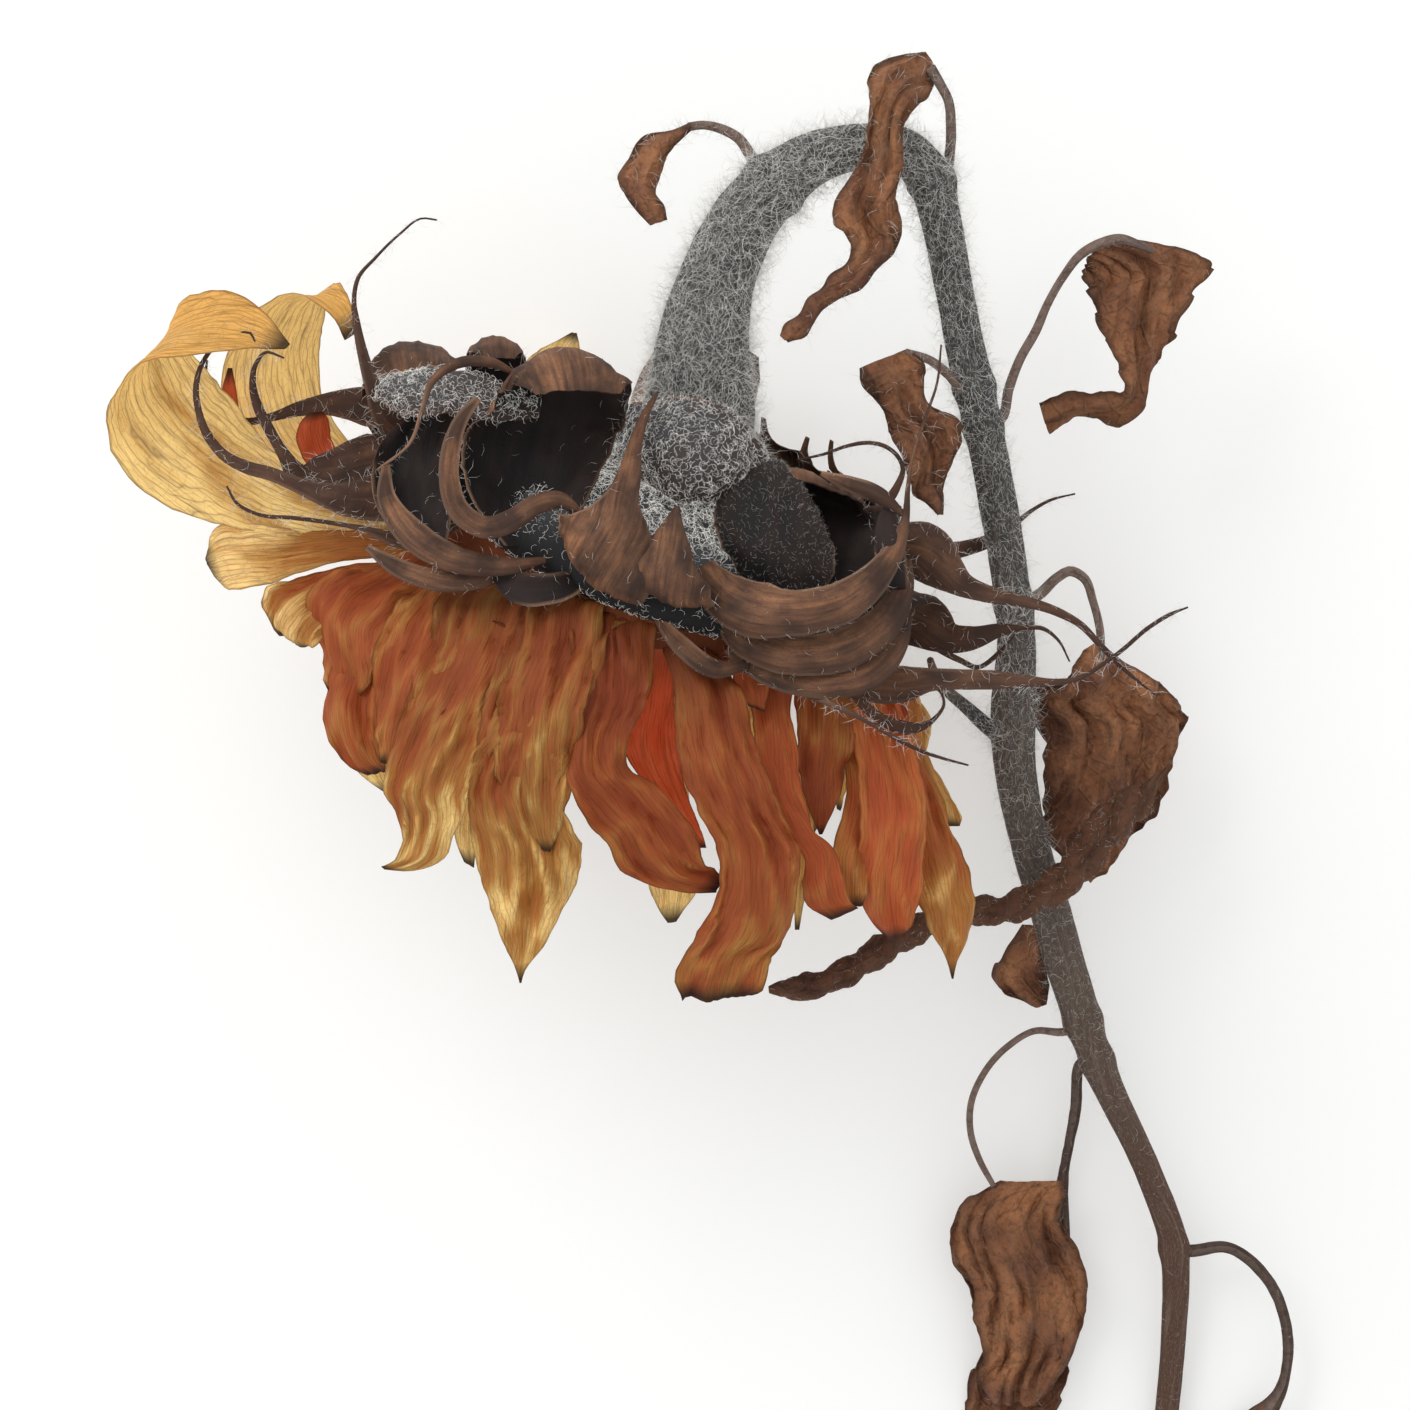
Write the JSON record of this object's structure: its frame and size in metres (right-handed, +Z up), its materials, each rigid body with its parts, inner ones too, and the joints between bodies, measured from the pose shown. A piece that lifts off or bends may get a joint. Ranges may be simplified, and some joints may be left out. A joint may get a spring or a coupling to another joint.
{
  "type": "wilted sunflower",
  "caption": "Dried sunflower with a nodding head, curled bracts, hanging petals and withered leaves on a hooked cut stem, lying on its side.",
  "frame": {"origin": "on the surface the flower lies on, under the middle of its box", "axes": "+Y from the cut end towards the hooked top, +X to the right seen from above, +Z up from the surface"},
  "size_m": [0.2054, 0.2487, 0.1036],
  "materials": {
    "stem": "dry hairy stem, matte",
    "bract": "dry leathery bract, matte",
    "petal": "dry papery petal, matte",
    "disc": "withered florets, matte",
    "leaf": "withered leaf, matte"
  },
  "bodies": {
    "root": {"stem": "stem", "involucre": "bract", "ray_petals": "petal", "seed_disc": "disc", "leaf_hook": "leaf", "leaf_neck": "leaf", "leaf_upper": "leaf", "leaf_middle": "leaf", "leaf_broad": "leaf", "leaf_node": "leaf", "leaf_low": "leaf", "leaf_foot": "leaf", "leaf_loop": "leaf"}
  },
  "joints": []
}
